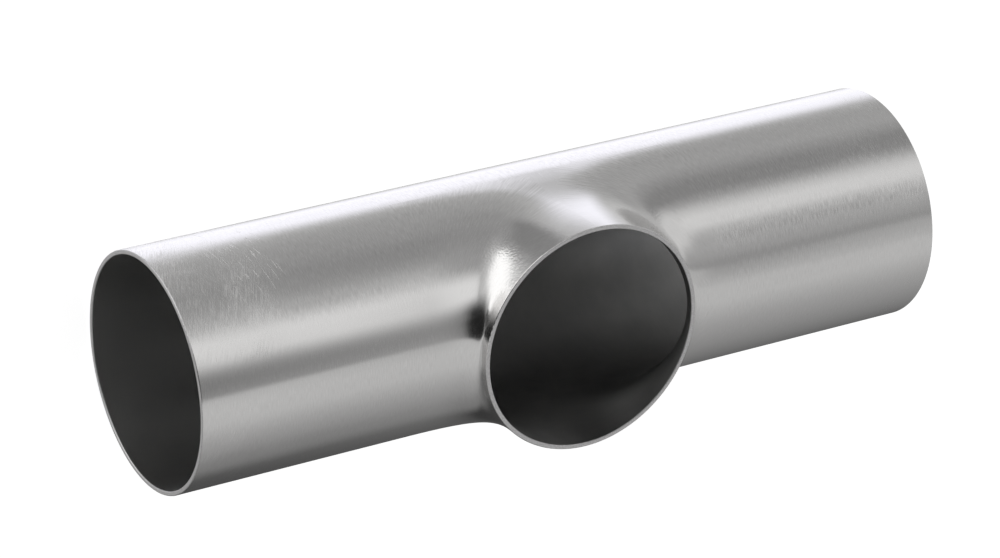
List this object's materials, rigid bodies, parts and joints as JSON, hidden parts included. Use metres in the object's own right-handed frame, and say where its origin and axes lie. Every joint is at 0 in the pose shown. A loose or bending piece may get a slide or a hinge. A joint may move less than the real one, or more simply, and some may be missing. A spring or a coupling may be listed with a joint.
{
  "type": "sanitary weld tee",
  "caption": "Thin-walled stainless weld tee: a straight run of tube with a short branch of the same diameter pulled out of its side, all ends cut square for welding.",
  "frame": {"origin": "the point where the run's axis and the branch's axis cross", "axes": "+X along the run, +Z along the branch towards its open face, Y level across the run; the tee lies on the back of its run with the branch pointing up"},
  "size_m": [0.354, 0.1016, 0.1072],
  "materials": {
    "brushed_stainless": "satin brushed outside, dull inside"
  },
  "bodies": {
    "root": {"tee_body": "brushed_stainless"}
  },
  "joints": []
}
